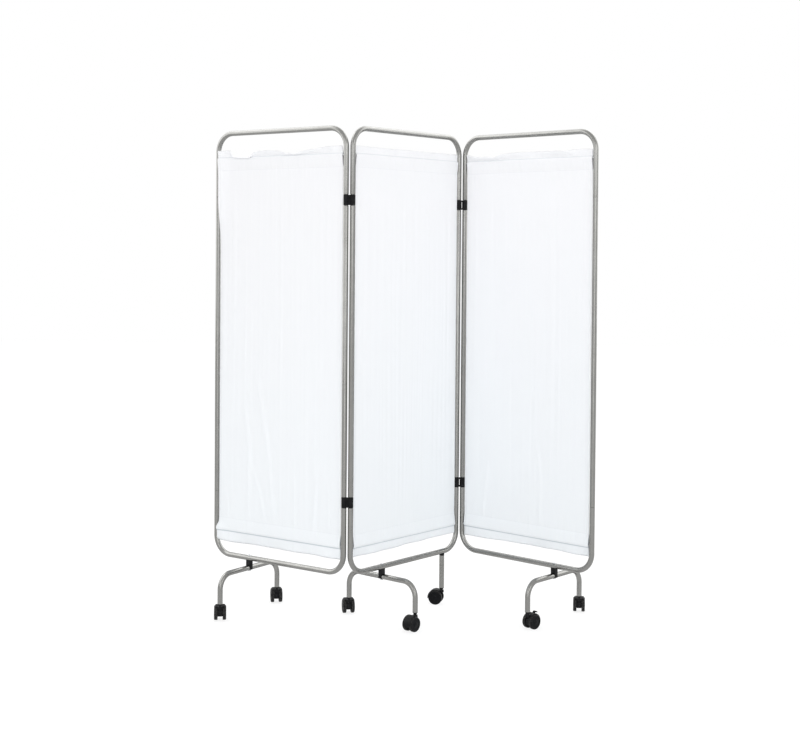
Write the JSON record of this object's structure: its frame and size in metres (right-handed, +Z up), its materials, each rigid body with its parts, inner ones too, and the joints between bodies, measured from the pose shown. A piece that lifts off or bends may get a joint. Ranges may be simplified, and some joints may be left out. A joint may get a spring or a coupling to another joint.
{
  "type": "folding privacy screen on castors",
  "caption": "Folding bedside privacy screen: tubular steel panels with gathered white curtains, hinged by black clips and standing on twin-wheel castors.",
  "frame": {"origin": "on the floor under the middle of the whole screen as it stands unfolded", "axes": "+Z up; +X along the row of panels, from the left panel to the right; +Y through the screen, away from the side that the picture shows"},
  "size_m": [1.332, 0.467, 1.7007],
  "materials": {
    "steel_tube": "satin stainless tube, faint lengthwise grain",
    "rod_steel": "bright zinc plate on rods, bolts and nuts",
    "curtain_cloth": "plain woven white polyester cotton, gathered",
    "black_plastic": "fine-grained moulded black plastic",
    "wheel_nylon": "smooth black nylon wheels with a soft sheen"
  },
  "bodies": {
    "left_panel": {"left_upper_frame": "steel_tube", "left_lower_bow": "steel_tube", "left_top_rod": "rod_steel", "left_bottom_rod": "rod_steel", "left_curtain": "curtain_cloth", "left_foot": "steel_tube", "left_foot_saddle": "black_plastic", "left_foot_bolt": "rod_steel", "left_front_castor_plug": "black_plastic", "left_back_castor_plug": "black_plastic"},
    "middle_panel": {"middle_upper_frame": "steel_tube", "middle_lower_bow": "steel_tube", "middle_top_rod": "rod_steel", "middle_bottom_rod": "rod_steel", "middle_curtain": "curtain_cloth", "middle_foot": "steel_tube", "middle_foot_saddle": "black_plastic", "middle_foot_bolt": "rod_steel", "middle_post": "steel_tube", "middle_post_plug": "black_plastic", "middle_post_bolt": "rod_steel", "middle_front_castor_plug": "black_plastic", "middle_back_castor_plug": "black_plastic", "middle_post_castor_plug": "black_plastic"},
    "right_panel": {"right_upper_frame": "steel_tube", "right_lower_bow": "steel_tube", "right_top_rod": "rod_steel", "right_bottom_rod": "rod_steel", "right_curtain": "curtain_cloth", "right_foot": "steel_tube", "right_foot_saddle": "black_plastic", "right_foot_bolt": "rod_steel", "right_front_castor_plug": "black_plastic", "right_back_castor_plug": "black_plastic"},
    "left_hinge_clips": {"left_hinge_lower_clip": "black_plastic", "left_hinge_upper_clip": "black_plastic"},
    "right_hinge_clips": {"right_hinge_lower_clip": "black_plastic", "right_hinge_upper_clip": "black_plastic"},
    "left_front_castor": {"left_front_castor_hood": "black_plastic"},
    "left_front_wheel_a": {"left_front_castor_wheel_a": "wheel_nylon"},
    "left_front_wheel_b": {"left_front_castor_wheel_b": "wheel_nylon"},
    "left_back_castor": {"left_back_castor_hood": "black_plastic"},
    "left_back_wheel_a": {"left_back_castor_wheel_a": "wheel_nylon"},
    "left_back_wheel_b": {"left_back_castor_wheel_b": "wheel_nylon"},
    "middle_front_castor": {"middle_front_castor_hood": "black_plastic"},
    "middle_front_wheel_a": {"middle_front_castor_wheel_a": "wheel_nylon"},
    "middle_front_wheel_b": {"middle_front_castor_wheel_b": "wheel_nylon"},
    "middle_back_castor": {"middle_back_castor_hood": "black_plastic"},
    "middle_back_wheel_a": {"middle_back_castor_wheel_a": "wheel_nylon"},
    "middle_back_wheel_b": {"middle_back_castor_wheel_b": "wheel_nylon"},
    "middle_post_castor": {"middle_post_castor_hood": "black_plastic"},
    "middle_post_wheel_a": {"middle_post_castor_wheel_a": "wheel_nylon"},
    "middle_post_wheel_b": {"middle_post_castor_wheel_b": "wheel_nylon"},
    "right_front_castor": {"right_front_castor_hood": "black_plastic"},
    "right_front_wheel_a": {"right_front_castor_wheel_a": "wheel_nylon"},
    "right_front_wheel_b": {"right_front_castor_wheel_b": "wheel_nylon"},
    "right_back_castor": {"right_back_castor_hood": "black_plastic"},
    "right_back_wheel_a": {"right_back_castor_wheel_a": "wheel_nylon"},
    "right_back_wheel_b": {"right_back_castor_wheel_b": "wheel_nylon"},
    "right_front_brake": {"right_front_castor_brake_lever": "black_plastic"}
  },
  "joints": [
    {"name": "left_clip_turn", "type": "hinge", "parent": "middle_panel", "child": "left_hinge_clips", "pos_m": [-0.16631, -0.20777, 0.4345], "axis": [0, 0, 1], "range_deg": [-40.8, 139.2]},
    {"name": "left_panel_fold", "type": "hinge", "parent": "left_hinge_clips", "child": "left_panel", "pos_m": [-0.18881, -0.20777, 0.4345], "axis": [0, 0, 1], "range_deg": [-55.1, 124.9]},
    {"name": "right_clip_turn", "type": "hinge", "parent": "middle_panel", "child": "right_hinge_clips", "pos_m": [0.2068, 0.22447, 0.4345], "axis": [0, 0, 1], "range_deg": [-15.5, 113.9]},
    {"name": "right_panel_fold", "type": "hinge", "parent": "right_hinge_clips", "child": "right_panel", "pos_m": [0.2293, 0.22447, 0.4345], "axis": [0, 0, 1], "range_deg": [-16.1, 100.5]},
    {"name": "left_front_castor_swivel", "type": "hinge", "parent": "left_panel", "child": "left_front_castor", "pos_m": [-0.61696, -0.09442, 0.06], "axis": [0, 0, 1], "continuous": true},
    {"name": "left_front_wheel_a_spin", "type": "hinge", "parent": "left_front_castor", "child": "left_front_wheel_a", "pos_m": [-0.61905, -0.07454, 0.025], "axis": [-0.9945, -0.1045, 0], "continuous": true},
    {"name": "left_front_wheel_b_spin", "type": "hinge", "parent": "left_front_castor", "child": "left_front_wheel_b", "pos_m": [-0.61905, -0.07454, 0.025], "axis": [-0.9945, -0.1045, 0], "continuous": true},
    {"name": "left_back_castor_swivel", "type": "hinge", "parent": "left_panel", "child": "left_back_castor", "pos_m": [-0.44302, 0.1549, 0.06], "axis": [0, 0, 1], "continuous": true},
    {"name": "left_back_wheel_a_spin", "type": "hinge", "parent": "left_back_castor", "child": "left_back_wheel_a", "pos_m": [-0.4465, 0.1746, 0.025], "axis": [-0.9848, -0.1736, 0], "continuous": true},
    {"name": "left_back_wheel_b_spin", "type": "hinge", "parent": "left_back_castor", "child": "left_back_wheel_b", "pos_m": [-0.4465, 0.1746, 0.025], "axis": [-0.9848, -0.1736, 0], "continuous": true},
    {"name": "middle_front_castor_swivel", "type": "hinge", "parent": "middle_panel", "child": "middle_front_castor", "pos_m": [0.05396, -0.18522, 0.06], "axis": [0, 0, 1], "continuous": true},
    {"name": "middle_front_wheel_a_spin", "type": "hinge", "parent": "middle_front_castor", "child": "middle_front_wheel_a", "pos_m": [0.0411, -0.20054, 0.025], "axis": [0.766, -0.6428, 0], "continuous": true},
    {"name": "middle_front_wheel_b_spin", "type": "hinge", "parent": "middle_front_castor", "child": "middle_front_wheel_b", "pos_m": [0.0411, -0.20054, 0.025], "axis": [0.766, -0.6428, 0], "continuous": true},
    {"name": "middle_back_castor_swivel", "type": "hinge", "parent": "middle_panel", "child": "middle_back_castor", "pos_m": [-0.17617, 0.01342, 0.06], "axis": [0, 0, 1], "continuous": true},
    {"name": "middle_back_wheel_a_spin", "type": "hinge", "parent": "middle_back_castor", "child": "middle_back_wheel_a", "pos_m": [-0.17964, 0.03312, 0.025], "axis": [-0.9848, -0.1736, 0], "continuous": true},
    {"name": "middle_back_wheel_b_spin", "type": "hinge", "parent": "middle_back_castor", "child": "middle_back_wheel_b", "pos_m": [-0.17964, 0.03312, 0.025], "axis": [-0.9848, -0.1736, 0], "continuous": true},
    {"name": "middle_post_castor_swivel", "type": "hinge", "parent": "middle_panel", "child": "middle_post_castor", "pos_m": [0.15387, 0.16315, 0.06], "axis": [0, 0, 1], "continuous": true},
    {"name": "middle_post_wheel_a_spin", "type": "hinge", "parent": "middle_post_castor", "child": "middle_post_wheel_a", "pos_m": [0.13455, 0.16833, 0.025], "axis": [-0.2588, -0.9659, 0], "continuous": true},
    {"name": "middle_post_wheel_b_spin", "type": "hinge", "parent": "middle_post_castor", "child": "middle_post_wheel_b", "pos_m": [0.13455, 0.16833, 0.025], "axis": [-0.2588, -0.9659, 0], "continuous": true},
    {"name": "right_front_castor_swivel", "type": "hinge", "parent": "right_panel", "child": "right_front_castor", "pos_m": [0.43537, -0.16757, 0.06], "axis": [0, 0, 1], "continuous": true},
    {"name": "right_front_wheel_a_spin", "type": "hinge", "parent": "right_front_castor", "child": "right_front_wheel_a", "pos_m": [0.45023, -0.15419, 0.025], "axis": [-0.6691, 0.7431, 0], "continuous": true},
    {"name": "right_front_wheel_b_spin", "type": "hinge", "parent": "right_front_castor", "child": "right_front_wheel_b", "pos_m": [0.45023, -0.15419, 0.025], "axis": [-0.6691, 0.7431, 0], "continuous": true},
    {"name": "right_back_castor_swivel", "type": "hinge", "parent": "right_panel", "child": "right_back_castor", "pos_m": [0.63957, 0.05764, 0.06], "axis": [0, 0, 1], "continuous": true},
    {"name": "right_back_wheel_a_spin", "type": "hinge", "parent": "right_back_castor", "child": "right_back_wheel_a", "pos_m": [0.64236, 0.07744, 0.025], "axis": [-0.9903, 0.1392, 0], "continuous": true},
    {"name": "right_back_wheel_b_spin", "type": "hinge", "parent": "right_back_castor", "child": "right_back_wheel_b", "pos_m": [0.64236, 0.07744, 0.025], "axis": [-0.9903, 0.1392, 0], "continuous": true},
    {"name": "right_front_brake_press", "type": "hinge", "parent": "right_front_castor", "child": "right_front_brake", "pos_m": [0.45469, -0.15017, 0.044], "axis": [-0.6691, 0.7431, 0], "range_deg": [0, 22]}
  ]
}
